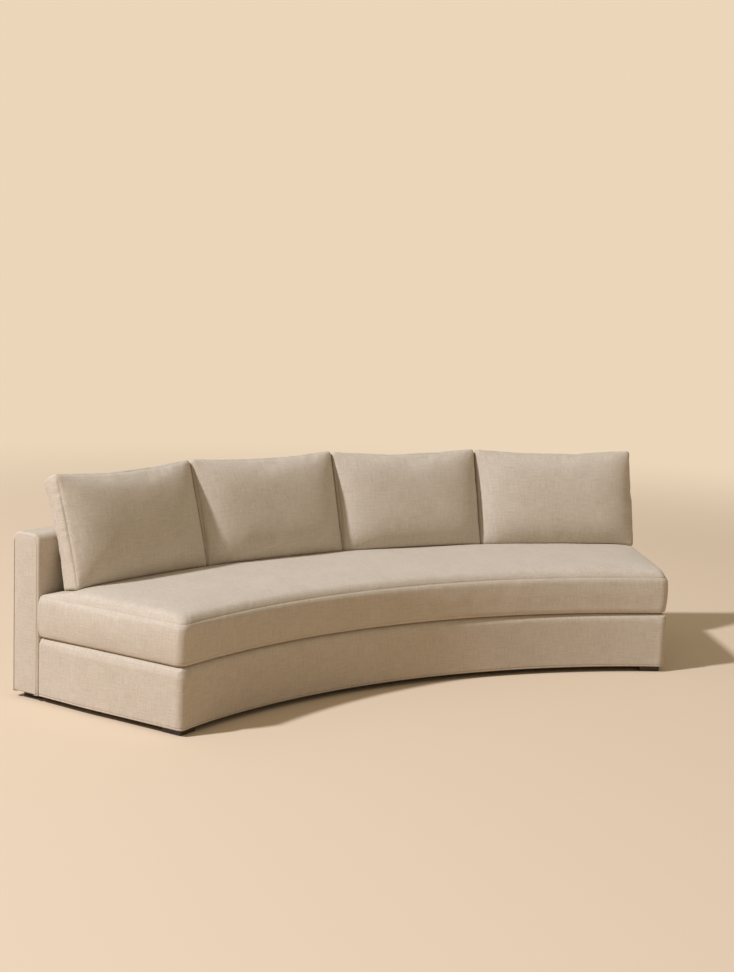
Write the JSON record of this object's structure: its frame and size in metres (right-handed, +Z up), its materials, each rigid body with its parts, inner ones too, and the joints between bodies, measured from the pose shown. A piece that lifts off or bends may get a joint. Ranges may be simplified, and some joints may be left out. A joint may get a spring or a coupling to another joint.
{
  "type": "curved sofa",
  "caption": "Curved sofa: an upholstered seat base and a low back on an arc, with one bench seat cushion and loose boxed back cushions that lift off.",
  "frame": {"origin": "middle of the footprint, on the floor", "axes": "+X along the sofa to the right of someone who looks at its front, -Y towards that person, +Z up; the seat's arc is centred 2.929 m in front of the origin"},
  "size_m": [3.0842, 1.1264, 0.8952],
  "materials": {
    "upholstery": "matte",
    "foam": "matte",
    "webbing": "matte",
    "black_cloth": "matte",
    "zip_tape": "matte",
    "frame_wood": "matte",
    "plywood": "matte",
    "leg_wood": "satin",
    "card": "matte",
    "steel": "satin"
  },
  "bodies": {
    "frame": {"front_rail": "frame_wood", "rear_rail": "frame_wood", "left_end_rail": "frame_wood", "right_end_rail": "frame_wood", "left_cross_rail": "frame_wood", "middle_cross_rail": "frame_wood", "right_cross_rail": "frame_wood", "front_left_corner_block": "frame_wood", "front_right_corner_block": "frame_wood", "rear_left_corner_block": "frame_wood", "rear_right_corner_block": "frame_wood", "back_bottom_rail": "frame_wood", "back_top_rail": "frame_wood", "back_post_1": "frame_wood", "back_post_2": "frame_wood", "back_post_3": "frame_wood", "back_post_4": "frame_wood", "back_post_5": "frame_wood", "front_left_leg": "leg_wood", "front_middle_leg": "leg_wood", "front_right_leg": "leg_wood", "rear_left_leg": "leg_wood", "rear_middle_leg": "leg_wood", "rear_right_leg": "leg_wood", "frame_bolt_1": "steel", "frame_bolt_2": "steel", "frame_bolt_3": "steel", "frame_bolt_4": "steel", "back_board": "plywood", "outer_back_panel": "card", "seat_webbing": "webbing", "dust_cover": "black_cloth", "back_dust_cover": "black_cloth", "base_cover": "upholstery", "deck_cloth": "upholstery", "back_cover": "upholstery", "left_end_panel": "upholstery", "right_end_panel": "upholstery", "edge_foam": "foam", "deck_pad": "foam"},
    "seat_cushion": {"seat_cushion_cover": "upholstery", "seat_cushion_core": "foam", "seat_cushion_zip": "zip_tape"},
    "seat_cushion_zip_slider": {"seat_cushion_zip_slider": "steel"},
    "left_back_cushion": {"left_back_cushion_cover": "upholstery", "left_back_cushion_core": "foam", "left_back_cushion_zip": "zip_tape"},
    "left_back_cushion_zip_slider": {"left_back_cushion_zip_slider": "steel"},
    "inner_left_back_cushion": {"inner_left_back_cushion_cover": "upholstery", "inner_left_back_cushion_core": "foam", "inner_left_back_cushion_zip": "zip_tape"},
    "inner_left_back_cushion_zip_slider": {"inner_left_back_cushion_zip_slider": "steel"},
    "inner_right_back_cushion": {"inner_right_back_cushion_cover": "upholstery", "inner_right_back_cushion_core": "foam", "inner_right_back_cushion_zip": "zip_tape"},
    "inner_right_back_cushion_zip_slider": {"inner_right_back_cushion_zip_slider": "steel"},
    "right_back_cushion": {"right_back_cushion_cover": "upholstery", "right_back_cushion_core": "foam", "right_back_cushion_zip": "zip_tape"},
    "right_back_cushion_zip_slider": {"right_back_cushion_zip_slider": "steel"}
  },
  "joints": [
    {"name": "seat_cushion_lift", "type": "slide", "parent": "frame", "child": "seat_cushion", "axis": [0, 0, 1], "range_m": [0, 0.4]},
    {"name": "seat_cushion_zip_run", "type": "hinge", "parent": "seat_cushion", "child": "seat_cushion_zip_slider", "pos_m": [0, -2.92875, 0.35], "axis": [0, 0, -1], "range_deg": [0, 21.7]},
    {"name": "left_back_cushion_lift", "type": "slide", "parent": "seat_cushion", "child": "left_back_cushion", "axis": [0, 0, 1], "range_m": [0, 0.35]},
    {"name": "left_back_cushion_zip_run", "type": "slide", "parent": "left_back_cushion", "child": "left_back_cushion_zip_slider", "axis": [0.9463, 0.3234, 0], "range_m": [0, 0.4818]},
    {"name": "inner_left_back_cushion_lift", "type": "slide", "parent": "seat_cushion", "child": "inner_left_back_cushion", "axis": [0, 0, 1], "range_m": [0, 0.35]},
    {"name": "inner_left_back_cushion_zip_run", "type": "slide", "parent": "inner_left_back_cushion", "child": "inner_left_back_cushion_zip_slider", "axis": [0.9939, 0.1103, 0], "range_m": [0, 0.4912]},
    {"name": "inner_right_back_cushion_lift", "type": "slide", "parent": "seat_cushion", "child": "inner_right_back_cushion", "axis": [0, 0, 1], "range_m": [0, 0.35]},
    {"name": "inner_right_back_cushion_zip_run", "type": "slide", "parent": "inner_right_back_cushion", "child": "inner_right_back_cushion_zip_slider", "axis": [0.9941, -0.1087, 0], "range_m": [0, 0.4854]},
    {"name": "right_back_cushion_lift", "type": "slide", "parent": "seat_cushion", "child": "right_back_cushion", "axis": [0, 0, 1], "range_m": [0, 0.35]},
    {"name": "right_back_cushion_zip_run", "type": "slide", "parent": "right_back_cushion", "child": "right_back_cushion_zip_slider", "axis": [0.9448, -0.3277, 0], "range_m": [0, 0.5128]}
  ]
}
